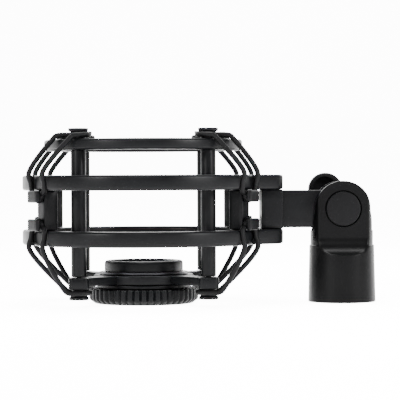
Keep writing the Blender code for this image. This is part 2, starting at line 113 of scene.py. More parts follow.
# Stand adapter, pivot and knob, in millimetres.
BARREL_FOOT = 12.5
BARREL_TOP = 12.0
HEAD_RADIUS = 11.6
SHOULDER_Z = 20.8
RUNOUT_TOP = 24.0
RUNOUT_RADIUS = 6.6
SLOT_HALF = 4.1
SLOT_FLOOR = 26.4
INSERT_RADIUS = 9.6
STAND_BORE = 7.7
BOLT_RADIUS = 3.0
BOLT_HOLE = 3.3
CAP_RADIUS = 6.3
CAP_RISE = 0.3
RECESS_RADIUS = 6.8
RECESS_DEPTH = 1.8
WASHER_RADIUS = 6.5
KNOB_LOBE = 6.4
KNOB_REACH = 8.3
KNOB_FACE = 13.4
KNOB_REST = math.radians(123.0)
KNOB_SOCKET = 4.7
KNOB_INSERT = 4.4


def node_box(node):
    """Lowest and highest corners of a CAD node, in millimetres."""
    low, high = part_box(node)
    return np.array(low) / MM, np.array(high) / MM


def span(node, axis=2):
    """Lowest and highest coordinate of a CAD node along one axis, in millimetres."""
    low, high = node_box(node)
    return float(low[axis]), float(high[axis])


def middle(node):
    """Centre of a CAD node's box, in millimetres."""
    low, high = node_box(node)
    return (low + high) / 2


def half_width(node, axis=0):
    """Half of a CAD node's width along one axis, in millimetres."""
    low, high = span(node, axis)
    return (high - low) / 2


CAGE = middle("top_ring") * (1, 1, 0)
PIVOT = middle("pivot_cap") * (1, 0, 1)
BARREL = PIVOT * (1, 1, 0)
POSTS = {label: middle(f"post_{label}") * (1, 1, 0) for label, _, _ in CORNERS}
POST_PITCH = abs(POSTS["front_left"][1])
MID_Z = (span("lower_outer_ring")[0] + span("upper_outer_ring")[1]) / 2
FRAME_OUTER = half_width("lower_outer_ring", 1)
FRAME_INNER = FRAME_OUTER - RING_WALL
NOSE_END = span("lower_outer_ring", 0)[1] - CAGE[0]


class MountSizes(bpy.types.PropertyGroup):
    """Sizes that the fine surfaces add to the solid model."""
    edge: bpy.props.FloatProperty(
        name="Edge rounding", description="Rounding of the rings' and posts' edges",
        default=0.0011, min=0.0, unit="LENGTH")
    band: bpy.props.FloatProperty(
        name="Rubber thickness", description="Diameter of the round rubber loops",
        default=0.0019, min=0.0005, unit="LENGTH")
    flutes: bpy.props.IntProperty(
        name="Flutes", description="Grip flutes around the lock ring", default=48, min=12)
    flute_depth: bpy.props.FloatProperty(
        name="Flute depth", description="Depth of each grip flute", default=0.00075, min=0.0, unit="LENGTH")
    thread_pitch: bpy.props.FloatProperty(
        name="Thread pitch", description="Pitch of the 27 threads per inch stand thread",
        default=0.000941, min=0.0002, unit="LENGTH")


class MountFinish(bpy.types.PropertyGroup):
    """Colours and roughness of the finishes."""
    paint: bpy.props.FloatVectorProperty(
        name="Frame paint", description="Satin black of the frame and cage", subtype="COLOR", size=4,
        default=(0.0014, 0.0015, 0.0018, 1.0), min=0.0, max=1.0)
    paint_roughness: bpy.props.FloatProperty(
        name="Paint roughness", description="Roughness of the satin paint", subtype="FACTOR",
        default=0.36, min=0.0, max=1.0)
    adapter: bpy.props.FloatVectorProperty(
        name="Adapter paint", description="Satin black of the stand adapter", subtype="COLOR", size=4,
        default=(0.0012, 0.0012, 0.0013, 1.0), min=0.0, max=1.0)
    rubber: bpy.props.FloatVectorProperty(
        name="Rubber", description="Black of the rubber loops", subtype="COLOR", size=4,
        default=(0.0018, 0.0018, 0.0020, 1.0), min=0.0, max=1.0)
    plastic: bpy.props.FloatVectorProperty(
        name="Plastic", description="Black of the knob and pivot cap", subtype="COLOR", size=4,
        default=(0.0016, 0.0016, 0.0018, 1.0), min=0.0, max=1.0)
    steel: bpy.props.FloatVectorProperty(
        name="Dark steel", description="Blackened steel of the screws", subtype="COLOR", size=4,
        default=(0.020, 0.020, 0.022, 1.0), min=0.0, max=1.0)
    brass: bpy.props.FloatVectorProperty(
        name="Brass", description="Brass of the knob's insert", subtype="COLOR", size=4,
        default=(0.62, 0.42, 0.16, 1.0), min=0.0, max=1.0)
    nylon: bpy.props.FloatVectorProperty(
        name="Nylon", description="Natural nylon of the washers", subtype="COLOR", size=4,
        default=(0.55, 0.54, 0.50, 1.0), min=0.0, max=1.0)


# --- finishes ---------------------------------------------------------------------------------------------

MATERIALS = {}
NOISE_SPAN = (0.3, 0.7)
TINT_STOPS = ((0.3, 0.85), (0.75, 1.25))
BUMP_DISTANCE = 0.0002


def grained(name, colour, roughness, metallic=0.0, grain=900.0, bump=0.12, spread=0.07, mottle=60.0,
            shine=0.5):
    """A coated or moulded surface: fine grain in the bump, slow mottling in the roughness and the colour."""
    if name in MATERIALS:
        return MATERIALS[name]
    material = bpy.data.materials.new(name)
    material.use_nodes = True
    tree = material.node_tree
    shader = tree.nodes["Principled BSDF"]
    shader.inputs["Metallic"].default_value = metallic
    shader.inputs["Specular IOR Level"].default_value = shine
    place = tree.nodes.new("ShaderNodeTexCoord")
    fine = tree.nodes.new("ShaderNodeTexNoise")
    fine.inputs["Scale"].default_value = grain
    fine.inputs["Detail"].default_value = 3.0
    relief = tree.nodes.new("ShaderNodeBump")
    relief.inputs["Strength"].default_value = bump
    relief.inputs["Distance"].default_value = BUMP_DISTANCE
    slow = tree.nodes.new("ShaderNodeTexNoise")
    slow.inputs["Scale"].default_value = mottle
    slow.inputs["Detail"].default_value = 5.0
    rough = tree.nodes.new("ShaderNodeMapRange")
    rough.inputs["From Min"].default_value = NOISE_SPAN[0]
    rough.inputs["From Max"].default_value = NOISE_SPAN[1]
    rough.inputs["To Min"].default_value = roughness - spread
    rough.inputs["To Max"].default_value = roughness + spread
    tint = tree.nodes.new("ShaderNodeValToRGB")
    for element, (position, strength) in zip(tint.color_ramp.elements, TINT_STOPS):
        element.position = position
        element.color = [min(1.0, value * strength) for value in colour[:3]] + [1.0]
    links = tree.links
    links.new(place.outputs["Object"], fine.inputs["Vector"])
    links.new(place.outputs["Object"], slow.inputs["Vector"])
    links.new(fine.outputs["Fac"], relief.inputs["Height"])
    links.new(relief.outputs["Normal"], shader.inputs["Normal"])
    links.new(slow.outputs["Fac"], rough.inputs["Value"])
    links.new(rough.outputs["Result"], shader.inputs["Roughness"])
    links.new(slow.outputs["Fac"], tint.inputs["Fac"])
    links.new(tint.outputs["Color"], shader.inputs["Base Color"])
    MATERIALS[name] = material
    return material


def finish(name):
    """The material for a finish by its plain name."""
    look = bpy.context.scene.mount_finish
    if name == "paint":
        return grained("satin_black_paint", look.paint, look.paint_roughness, grain=1400.0, shine=0.07)
    if name == "adapter":
        return grained("adapter_satin_paint", look.adapter, 0.34, grain=1800.0, bump=0.10, shine=0.05)
    if name == "rubber":
        return grained("matte_rubber", look.rubber, 0.50, grain=2400.0, bump=0.30, spread=0.06,
                       mottle=140.0, shine=0.07)
    if name == "plastic":
        return grained("moulded_plastic", look.plastic, 0.46, grain=2600.0, bump=0.25, shine=0.06)
    if name == "steel":
        return grained("blackened_steel", look.steel, 0.34, metallic=1.0, grain=1200.0, bump=0.08)
    if name == "brass":
        return grained("turned_brass", look.brass, 0.30, metallic=1.0, bump=0.06)
    return grained("natural_nylon", look.nylon, 0.50, bump=0.05)


# --- surfaces ---------------------------------------------------------------------------------------------

def grid_faces(rows, columns, wrap_rows, wrap_columns):
    """Quads of a grid of points, joined end to start where it wraps."""
    row = np.arange(rows if wrap_rows else rows - 1)
    column = np.arange(columns if wrap_columns else columns - 1)
    row, column = [part.ravel() for part in np.meshgrid(row, column, indexing="ij")]
    here, below = row * columns, (row + 1) % rows * columns
    beside = (column + 1) % columns
    return np.stack([here + column, here + beside, below + beside, below + column], axis=1)


def mesh_of(name, points, faces):
    """A mesh from points in millimetres, its doubles merged and its faces turned outwards."""
    mesh = bpy.data.meshes.new(name)
    mesh.from_pydata((np.asarray(points, dtype=float) * MM).tolist(), [], [list(face) for face in faces])
    shape = bmesh.new()
    shape.from_mesh(mesh)
    bmesh.ops.remove_doubles(shape, verts=shape.verts, dist=1e-7)
    bmesh.ops.dissolve_degenerate(shape, edges=shape.edges, dist=1e-8)
    bmesh.ops.recalc_face_normals(shape, faces=shape.faces)
    shape.to_mesh(mesh)
    shape.free()
    return mesh


def rounded(corners, radius, steps=5, closed=True):
    """Each corner of a flat outline is replaced by an arc-like curve: a quadratic blend between the points
    at the rounding distance along its two sides. A radius may be one number or one for each corner."""
    corners = np.asarray(corners, dtype=float)
    count = len(corners)
    sizes = np.broadcast_to(np.asarray(radius, dtype=float), (count,))
    t = np.linspace(0, 1, steps)[:, None]
    out = []
    for k in range(count):
        here = corners[k]
        end = not closed and k in (0, count - 1)
        if end or sizes[k] <= 0:
            out.append(here[None, :])
            continue
        before, after = corners[k - 1] - here, corners[(k + 1) % count] - here
        reach = min(sizes[k], 0.49 * np.linalg.norm(before), 0.49 * np.linalg.norm(after))
        first = here + before / np.linalg.norm(before) * reach
        last = here + after / np.linalg.norm(after) * reach
        out.append((1 - t) ** 2 * first + 2 * t * (1 - t) * here + t ** 2 * last)
    return np.concatenate(out)


def turn_points(radius, height, angle, centre, along_y):
    """Points at a radius and height turned by an angle about an upright axis, or one along +Y."""
    x, y, z = radius * np.cos(angle), radius * np.sin(angle), height + 0 * angle
    if along_y:
        x, y, z = x, z, y
    return np.stack([x + centre[0], y + centre[1], z + centre[2]], axis=-1)


def revolve(name, profile, centre, sides=96, along_y=False, ripple=None):
    """Turned surface: each profile point (radius, height) is carried round the axis. A ripple adds to the
    radius as a function of radius, height and angle."""
    profile = np.asarray(profile, dtype=float)
    angle = np.linspace(0, 2 * np.pi, sides, endpoint=False)[:, None]
    radius = np.broadcast_to(profile[:, 0][None, :], (sides, len(profile)))
    height = np.broadcast_to(profile[:, 1][None, :], (sides, len(profile)))
    if ripple is not None:
        radius = radius + ripple(radius, height, angle)
    points = turn_points(radius, height, angle, centre, along_y)
    closed = profile[0, 0] > HAIR
    return mesh_of(name, points.reshape(-1, 3), grid_faces(sides, len(profile), True, closed))


def ring_profile(outer, inner, low, high, edge):
    """Rounded rectangle section of a ring."""
    return rounded([(outer, high), (outer, low), (inner, low), (inner, high)], edge)


def rod_profile(radius, low, high, edge):
    """Section of a round rod with rounded rims, ending on the axis."""
    return rounded([(0, high), (radius, high), (radius, low), (0, low)], edge, closed=False)


def prism(name, outline, low, high, edge, facing="Z", centre=(0, 0, 0)):
    """A flat outline given thickness: the outline is carried along a quarter-round at each rim, moved
    inwards along its own normals, and both ends are capped."""
    outline = np.asarray(outline, dtype=float)
    ahead, behind = np.roll(outline, -1, axis=0), np.roll(outline, 1, axis=0)
    tangent = ahead - behind
    tangent /= np.linalg.norm(tangent, axis=1)[:, None] + 1e-12
    area = np.sum(outline[:, 0] * ahead[:, 1] - ahead[:, 0] * outline[:, 1])
    inward = np.stack([-tangent[:, 1], tangent[:, 0]], axis=1) * np.sign(area)
    bend = np.linspace(0, np.pi / 2, 5)
    insets = np.concatenate([edge * (1 - np.sin(bend)), edge * (1 - np.cos(bend))])
    levels = np.concatenate([low + edge * (1 - np.cos(bend)), high - edge * (1 - np.sin(bend))])
    flat = outline[None, :, :] + inward[None, :, :] * insets[:, None, None]
    height = np.broadcast_to(levels[:, None], flat.shape[:2])
    u, v = flat[..., 0], flat[..., 1]
    order = {"Z": (u, v, height), "Y": (u, height, v), "X": (height, u, v)}[facing]
    points = np.stack(order, axis=-1).reshape(-1, 3) + np.asarray(centre, dtype=float)
    count = len(outline)
    faces = [list(face) for face in grid_faces(len(levels), count, False, True)]
    faces.append(list(range(count))[::-1])
    faces.append([(len(levels) - 1) * count + k for k in range(count)])
    return mesh_of(name, points, faces)


def soft_box(name, low, high, edge, turn=0.0, centre=(0, 0, 0), cells=8):
    """A box with rounded edges: each point of a gridded cube is pulled to the inner box, then pushed out
    again by the edge radius along the direction it was pulled."""
    low, high = np.asarray(low, dtype=float), np.asarray(high, dtype=float)
    half, mid = (high - low) / 2, (high + low) / 2
    inner = half - edge
    ramp = np.linspace(-1, 1, cells + 1)
    rim = np.clip(np.abs(ramp) * 2 - 1, 0, 1) * np.sign(ramp) * edge
    lines = [np.clip(ramp * 2, -1, 1) * max(inner[k], 0.0) + rim for k in range(3)]
    cell = grid_faces(cells + 1, cells + 1, False, False)
    points, faces = [], []
    for axis in range(3):
        first, second = [k for k in range(3) if k != axis]
        for side in (-1.0, 1.0):
            cube = np.zeros((cells + 1, cells + 1, 3))
            cube[..., axis] = side * half[axis]
            cube[..., first] = lines[first][:, None]
            cube[..., second] = lines[second][None, :]
            core = np.clip(cube, -inner, inner)
            away = cube - core
            length = np.linalg.norm(away, axis=-1, keepdims=True)
            surface = core + away / np.where(length > 0, length, 1) * edge
            faces.append(cell + len(points) * (cells + 1) ** 2)
            points.append(surface.reshape(-1, 3))
    flat = np.concatenate(points) + mid
    c, s = math.cos(turn), math.sin(turn)
    x, y = flat[:, 0] * c - flat[:, 1] * s, flat[:, 0] * s + flat[:, 1] * c
    flat = np.stack([x, y, flat[:, 2]], axis=1) + np.asarray(centre, dtype=float)
    return mesh_of(name, flat, np.concatenate(faces))


def tube(name, path, radius, sides=16):
    """A round cord of one radius round a closed path: a circle in each point's plane, carried along with
    as little twist as possible, and the twist left over is spread along the loop."""
    path = np.asarray(path, dtype=float)
    ahead = np.roll(path, -1, axis=0) - np.roll(path, 1, axis=0)
    ahead /= np.linalg.norm(ahead, axis=1)[:, None]
    across = np.zeros_like(path)
    first = np.cross(ahead[0], (0.0, 0.0, 1.0))
    across[0] = first / np.linalg.norm(first)
    for k in range(1, len(path)):
        step = across[k - 1] - ahead[k] * np.dot(across[k - 1], ahead[k])
        across[k] = step / np.linalg.norm(step)
    last = across[-1] - ahead[0] * np.dot(across[-1], ahead[0])
    side = np.cross(ahead[0], across[0])
    twist = math.atan2(np.dot(last, side), np.dot(last, across[0]))
    up = np.cross(ahead, across)
    share = -twist * np.arange(len(path)) / len(path)
    angle = np.linspace(0, 2 * np.pi, sides, endpoint=False)[None, :] + share[:, None]
    ring = across[:, None, :] * np.cos(angle)[..., None] + up[:, None, :] * np.sin(angle)[..., None]
    points = path[:, None, :] + ring * radius
    return mesh_of(name, points.reshape(-1, 3), grid_faces(len(path), sides, True, True))


def threading(bore, low, high, pitch, depth):
    """Ripple of a threaded bore: between two heights the wall moves outwards in a rounded helical ridge,
    half of one plus the cosine of the height in pitches less the angle in turns."""
    def ripple(radius, height, angle):
        inside = (np.abs(radius - bore) < HAIR) & (height > low) & (height < high)
        wave = 0.5 + 0.5 * np.cos(2 * np.pi * (height / pitch - angle / (2 * np.pi)))
        return inside * depth * wave
    return ripple


def add_piece(name, mesh, finish_name, body=None, nodes=()):
    """Put a mesh in the scene as a finished piece that rides on a body and stands for CAD nodes."""
    mesh.name = name
    piece = bpy.data.objects.new(name, mesh)
    bpy.context.scene.collection.objects.link(piece)
    mesh.materials.clear()
    mesh.materials.append(finish(finish_name))
    mesh.shade_smooth()
    mesh.set_sharp_from_angle(angle=SHARP)
    if body is not None:
        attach(piece, body)
    if nodes:
        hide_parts(*nodes)
    return piece


def combined(first, steps):
    """A mesh cut by or joined with others, one after another; steps are pairs of operation and mesh."""
    base = bpy.data.objects.new("shape", first)
    bpy.context.scene.collection.objects.link(base)
    tools = []
    for operation, tool_mesh in steps:
        tool = bpy.data.objects.new("tool", tool_mesh)
        bpy.context.scene.collection.objects.link(tool)
        modifier = base.modifiers.new(operation, "BOOLEAN")
        modifier.operation = operation
        modifier.object = tool
        modifier.solver = "EXACT"
        tools.append(tool)
    bpy.context.view_layer.update()
    evaluated = base.evaluated_get(bpy.context.evaluated_depsgraph_get())
    result = bpy.data.meshes.new_from_object(evaluated)
    for item in [base] + tools:
        bpy.data.objects.remove(item, do_unlink=True)
    if not result.polygons:
        raise RuntimeError("a cut left nothing of a piece")
    return result


# --- inner cage -------------------------------------------------------------------------------------------

def edge_radius():
    """Edge rounding in millimetres."""
    return bpy.context.scene.mount_sizes.edge / MM


def spool_profile(base, face, flange):
    """Section of a spool from its base on the cage to its outer face: a waisted neck under a thin flange,
    with a dished face round the screw's recess."""
    inward = -1 if face > base else 1
    under, step, floor = face + inward, face + inward * 1.5, face + inward * 1.6
    recess = 2.2
    corners = [
        (flange, face), (flange, under), (SPOOL_NECK, step), (SPOOL_NECK, base),
        (POST_BORE, base), (POST_BORE, floor), (recess, floor), (recess, face),
    ]
    return rounded(corners, (0.25, 0.3, 0.5, 0.1, 0.05, 0.05, 0.1, 0.2))


def screw_profile(face, sign, length):
    """Section of a socket screw; sign is +1 when its shank runs up from the head."""
    head, shank, socket = 1.9, 1.0, 0.95
    under, tip = face + sign * 1.1, face + sign * length
    corners = [
        (0, face + sign * 0.7), (socket, face + sign * 0.6), (socket, face), (head, face),
        (head, under), (shank, under), (shank, tip), (0, tip),
    ]
    return rounded(corners, (0, 0.05, 0.1, 0.25, 0.1, 0.1, 0.3, 0), 4, closed=False)


class MOUNT_OT_cage(bpy.types.Operator):
    """Build the top ring, the posts, the spools and the spider plate"""
    bl_idname = "mount.cage"
    bl_label = "Inner cage"

    def execute(self, context):
        low, high = span("top_ring")
        outer = half_width("top_ring")
        section = ring_profile(outer, outer - TOP_RING_WALL, low, high, edge_radius())
        add_piece("cage_top_ring", revolve("top_ring_fine", section, CAGE, 192), "paint", "cage",
                  ["top_ring"])
        for label, at in POSTS.items():
            low, high = span(f"post_{label}")
            section = ring_profile(POST_RADIUS, POST_BORE, low, high + SEAM, 0.25)
            self.turned_piece("cage_post", f"post_{label}", label, section, at)
            low, high = span(f"top_spool_{label}")
            section = spool_profile(low - SEAM, high, UPPER_FLANGE)
            self.turned_piece("upper_spool", f"top_spool_{label}", label, section, at)
            low, high = span(f"bottom_spool_{label}")
            section = spool_profile(high + SEAM, low, LOWER_FLANGE)
            self.turned_piece("lower_spool", f"bottom_spool_{label}", label, section, at)
        self.spider()
        return {"FINISHED"}

    def turned_piece(self, kind, node, label, section, at):
        """One painted piece turned about a post's axis."""
        mesh = revolve(kind, section, at, 48)
        add_piece(f"{kind}_{label}", mesh, "paint", "cage", [node])

    def spider(self):
        """Hub ring, four diagonal arms with their pads, all one casting."""
        low, high = span("spider_plate")
        hub_low = low + HUB_RISE
        plate = revolve("hub", ring_profile(HUB_RADIUS, HUB_BORE, hub_low, high, 0.5), CAGE, 128)
        pad_x, pad_y = PAD_HALVES
        corners = [(pad_x, pad_y), (-pad_x, pad_y), (-pad_x, -pad_y), (pad_x, -pad_y)]
        reach = POST_PITCH * math.sqrt(2)
        steps = []
        for label, sx, sy in CORNERS:
            arm = soft_box("arm", (SPIDER_ARM_START, -SPIDER_ARM_HALF, hub_low + 0.02),
                           (reach, SPIDER_ARM_HALF, high - 0.02), 0.5, math.atan2(sy, sx), CAGE)
            pad = prism("pad", rounded(corners, 1.9, 7), low, high - 0.01, 0.5, "Z", POSTS[label])
            steps += [("UNION", arm), ("UNION", pad)]
        add_piece("cage_spider", combined(plate, steps), "paint", "cage", ["spider_plate"])


class MOUNT_OT_lock_ring(bpy.types.Operator):
    """Build the collar, the knurled lock ring and what holds them"""
    bl_idname = "mount.lock_ring"
    bl_label = "Lock ring"

    def execute(self, context):
        sizes = context.scene.mount_sizes
        self.grip(sizes.flutes, sizes.flute_depth / MM)
        self.collar()
        low, high = span("collar_retaining_ring")
        clip = revolve("clip", ring_profile(16.4, 13.7, low, high, 0.2), CAGE, 96)
        add_piece("retaining_ring", clip, "steel", "lock_ring", ["collar_retaining_ring"])
        low, high = span("slip_washer")
        washer = revolve("washer", ring_profile(17.4, 15.2, low, high, 0.2), CAGE, 96)
        add_piece("ring_slip_washer", washer, "paint", "cage", ["slip_washer"])
        return {"FINISHED"}

    def grip(self, flutes, depth):
        """The knurled ring: a turned section whose outer wall is pressed in by narrow valleys."""
        low, high = span("knurled_lock_ring")
        outer = half_width("knurled_lock_ring")

        def fluting(radius, _, angle):
            """Rounded ribs and narrow valleys on the outer wall, running out at both rims."""
            wave = 0.5 - 0.5 * np.cos(flutes * angle)
            near = np.clip(radius - (outer - 2.0), 0, 1)
            return -depth * near * wave ** 3

        profile = rounded([(outer, high), (outer, low + 1.6), (outer - 2.2, low), (HUB_BORE, low),
                           (HUB_BORE, high)], (0.5, 0.7, 0.5, 0.3, 0.3))
        ring = revolve("lock", profile, CAGE, flutes * 12, False, fluting)
        add_piece("grip_lock_ring", ring, "paint", "lock_ring", ["knurled_lock_ring"])

    def collar(self):
        """The collar: a turned section with a groove for its retaining ring and a threaded bore."""
        low, high = span("threaded_collar")
        outer = half_width("threaded_collar")
        rows = 60
        wall = rounded([(COLLAR_BORE, high), (outer, high), (outer, GROOVE_HIGH),
                        (GROOVE_RADIUS, GROOVE_HIGH), (GROOVE_RADIUS, GROOVE_LOW), (outer, GROOVE_LOW),
                        (outer, low), (COLLAR_BORE, low)], (0.35, 1.5, 0.1, 0.1, 0.1, 0.1, 0.4, 0.3), 7)
        bore = np.stack([np.full(rows, COLLAR_BORE), np.linspace(low + 0.9, high - 0.9, rows)], axis=1)
        thread = threading(COLLAR_BORE, low + 1.2, high - 1.2, COLLAR_PITCH, 0.28)
        collar = revolve("collar", np.concatenate([wall, bore]), CAGE, 144, False, thread)
        add_piece("screw_collar", collar, "paint", "lock_ring", ["threaded_collar"])


# --- outer frame ------------------------------------------------------------------------------------------

def pillar_turn(sx, sy):
    """Direction of a pillar from the cage axis."""
    return math.atan2(sy * math.sin(PILLAR_TURN), sx * math.cos(PILLAR_TURN))


def ring_reach(angle):
    """Outer radius of an outer ring: its circle, or the nose's straight sides and end blended into it, less
    two notches and a shallow land between them at each pillar."""
    side_reach = NOSE_END * math.cos(NOSE_SIDE_TURN) + NOSE_HALF * math.sin(NOSE_SIDE_TURN)
    least_cosine = 0.2
    end = NOSE_END / np.maximum(np.cos(angle), least_cosine)
    flank = side_reach / np.maximum(np.cos(np.abs(angle) - NOSE_SIDE_TURN), least_cosine)
    nose = -NOSE_BLUNT * np.log(np.exp(-end / NOSE_BLUNT) + np.exp(-flank / NOSE_BLUNT))
    nose = np.where(np.abs(angle) < NOSE_SPREAD, nose, 0.0)
    reach = np.maximum(nose, FRAME_OUTER)
    centre = NOTCH_TURN * FRAME_OUTER
    for _, sx, sy in CORNERS:
        away = np.abs((angle - pillar_turn(sx, sy) + np.pi) % (2 * np.pi) - np.pi)
        across = away * FRAME_OUTER
        notch = np.clip((NOTCH_HALF - np.abs(across - centre)) / NOTCH_SLOPE + 0.5, 0, 1)
        land = np.clip((centre - NOTCH_HALF - across) / NOTCH_SLOPE + 0.5, 0, 1)
        reach = reach - notch * NOTCH_DEPTH - land * LAND_DEPTH
    return reach


def outer_ring(name, low, high, edge):
    """Outer ring: a rounded rectangle section carried round the cage axis, its outer side following the
    ring's reach at each angle and its inner side a plain circle."""
    sides = 2160
    angle = np.linspace(-np.pi, np.pi, sides, endpoint=False)
    section = rounded([(RING_WALL, high), (RING_WALL, low), (0.0, low), (0.0, high)], edge)
    inset, height = section[:, 0][None, :], section[:, 1][None, :]
    reach = ring_reach(angle)[:, None]
    radius = np.where(inset > RING_WALL / 2, reach - (RING_WALL - inset), FRAME_INNER + inset)
    points = turn_points(radius, height, angle[:, None], CAGE, False)
    return mesh_of(name, points.reshape(-1, 3), grid_faces(sides, len(section), True, True))


class MOUNT_OT_outer_frame(bpy.types.Operator):
    """Build the two outer rings, the pillars with their lugs, and the arm"""
    bl_idname = "mount.outer_frame"
    bl_label = "Outer frame"

    def execute(self, context):
        edge = edge_radius()
        for level in ("lower", "upper"):
            ring = outer_ring("ring", *span(f"{level}_outer_ring"), edge)
            add_piece(f"frame_ring_{level}", ring, "paint", "outer_frame", [f"{level}_outer_ring"])
        for label, sx, sy in CORNERS:
            self.pillar(label, pillar_turn(sx, sy))
        self.arm()
        return {"FINISHED"}

    def pillar(self, label, turn):
        """A square pillar between the rings, with two lugs for the loops on short necks."""
        low, high = span("lower_outer_ring")[1] + 0.05, span("upper_outer_ring")[0] - 0.05
        outer = PILLAR_RADIUS + PILLAR_HALF
        base = soft_box("pillar", (PILLAR_RADIUS - PILLAR_HALF, -PILLAR_HALF, low),
                        (outer, PILLAR_HALF, high), 0.5, turn, CAGE)
        steps = []
        for side in (-1, 1):
            lug_low, lug_high = sorted(MID_Z + side * height for height in LUG_SPAN)
            neck_low, neck_high = sorted(MID_Z + side * height for height in LUG_NECK_SPAN)
            neck = soft_box("neck", (outer - 1.5, -LUG_NECK_HALF, neck_low),
                            (LUG_NECK_END, LUG_NECK_HALF, neck_high), 0.3, turn, CAGE)
            lug = soft_box("lug", (LUG_FACE[0], -LUG_HALF, lug_low), (LUG_FACE[1], LUG_HALF, lug_high),
                           0.6, turn, CAGE)
            steps += [("UNION", neck), ("UNION", lug)]
        add_piece(f"frame_pillar_{label}", combined(base, steps), "paint", "outer_frame",
                  [f"pillar_{label}"])

    def arm(self):
        """Flat tongue with a round end at the pivot, and the block that sits between the rings' noses."""
        low, high = span("arm_bracket")
        start = span("arm_bracket", 0)[0]
        turns = np.linspace(-np.pi / 2, np.pi / 2, 33)
        radius = (high - low) / 2
        end = np.stack([PIVOT[0] + radius * np.cos(turns), PIVOT[2] + radius * np.sin(turns)], axis=1)
        outline = np.concatenate([[(start, low)], end, [(start, high)]])
        tongue = prism("tongue", outline, -TONGUE_HALF, TONGUE_HALF, 0.5, "Y")
        block_low, block_high = span("lower_outer_ring")[1] + 0.02, span("upper_outer_ring")[0] - 0.02
        block = soft_box("block", (start + 0.02, -BLOCK_HALF, block_low),
                         (CAGE[0] + NOSE_END - 0.3, BLOCK_HALF, block_high), 0.4)
        add_piece("frame_arm", combined(tongue, [("UNION", block)]), "paint", "outer_frame",
                  ["arm_bracket"])


# --- rubber loops -----------------------------------------------------------------------------------------

def loop_route(upper):
    """Route points of one rubber loop at a front left corner, from the cage axis, in millimetres: half
    round the spool, out over the edge of the cage, on to the ring's notches, and round the lug."""
    # spool_z is the height of the spool's groove and edge_z that of the cage's edge. The bends are how far
    # out each strand runs before it drops, and ring_z and ring_mid are heights over and within the ring.
    loop, lug_loop, lug_centre, post = 3.85, 2.3, 5.8, -POST_PITCH
    if upper:
        up, spool_z, edge_z, bends = 1, 61.6, 61.35, {1: -31.2, -1: -24.9}
        drop_x, drop_z, ring_z, ring_mid = 1.1, -1.0, 47.9, 44.4
    else:
        up, spool_z, edge_z, bends = -1, 5.1, 5.25, {1: -26.9, -1: -26.9}
        drop_x, drop_z, ring_z, ring_mid = 1.15, 0.9, 21.1, 24.6
    turn = math.pi + PILLAR_TURN
    lug_radius = 44.15

    def on_lug(radius, across, height):
        """A point at a distance out along the pillar's direction, and across it."""
        return (radius * math.cos(turn) - across * math.sin(turn),
                radius * math.sin(turn) + across * math.cos(turn), height)

    strand = {}
    for side in (1, -1):
        y, bend = post + side * loop, bends[side]
        strand[side] = [(post - 0.3, y, spool_z), (bend, y, edge_z), (bend - drop_x, y, edge_z + drop_z),
                        on_lug(45.25, -side * 5.0, ring_z), on_lug(44.5, -side * 4.9, ring_mid),
                        on_lug(44.2, -side * 4.5, MID_Z + up * 7.0)]
        for t in (0.0, math.pi / 6, math.pi / 3):
            height = MID_Z + up * (lug_centre - lug_loop * math.sin(t))
            strand[side].append(on_lug(lug_radius, -side * lug_loop * math.cos(t), height))
    around = [(post + loop * math.cos(t), post - loop * math.sin(t), spool_z)
              for t in np.linspace(-1.25, 1.25, 7)]
    behind_lug = on_lug(lug_radius, 0.0, MID_Z + up * (lug_centre - lug_loop))
    return strand[1][::-1] + around + strand[-1] + [behind_lug]


def smooth_loop(points, spacing):
    """Centripetal Catmull-Rom curve through a closed list of points: between two points the curve is the
    usual blend of blends, with knots at the square roots of the distances, so it never overshoots."""
    points = np.asarray(points, dtype=float)
    count = len(points)
    out = []
    for k in range(count):
        a, b, c, d = (points[(k + m - 1) % count] for m in range(4))
        t0 = 0.0
        t1 = t0 + np.linalg.norm(b - a) ** 0.5
        t2 = t1 + np.linalg.norm(c - b) ** 0.5
        t3 = t2 + np.linalg.norm(d - c) ** 0.5
        pieces = max(2, int(round(np.linalg.norm(c - b) / spacing)))
        t = np.linspace(t1, t2, pieces, endpoint=False)[:, None]
        ab = (t1 - t) / (t1 - t0) * a + (t - t0) / (t1 - t0) * b
        bc = (t2 - t) / (t2 - t1) * b + (t - t1) / (t2 - t1) * c
        cd = (t3 - t) / (t3 - t2) * c + (t - t2) / (t3 - t2) * d
        abc = (t2 - t) / (t2 - t0) * ab + (t - t0) / (t2 - t0) * bc
        bcd = (t3 - t) / (t3 - t1) * bc + (t - t1) / (t3 - t1) * cd
        out.append((t2 - t) / (t2 - t1) * abc + (t - t1) / (t2 - t1) * bcd)
    return np.concatenate(out)


class MOUNT_OT_bands(bpy.types.Operator):
    """Build the eight rubber loops, which stretch between the frame and the cage"""
    bl_idname = "mount.bands"
    bl_label = "Rubber loops"

    def execute(self, context):
        radius = context.scene.mount_sizes.band / 2 / MM
        for upper in (True, False):
            level = "upper" if upper else "lower"
            route = smooth_loop(loop_route(upper), 0.7)
            for label, sx, sy in CORNERS:
                path = route * (-sx, -sy, 1) + CAGE
                band = tube("band", path, radius, 18)
                piece = add_piece(f"rubber_loop_{level}_{label}", band, "rubber",
                                  nodes=[f"{level}_band_{label}"])
                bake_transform(piece)
        return {"FINISHED"}


# --- stand adapter and knob -------------------------------------------------------------------------------

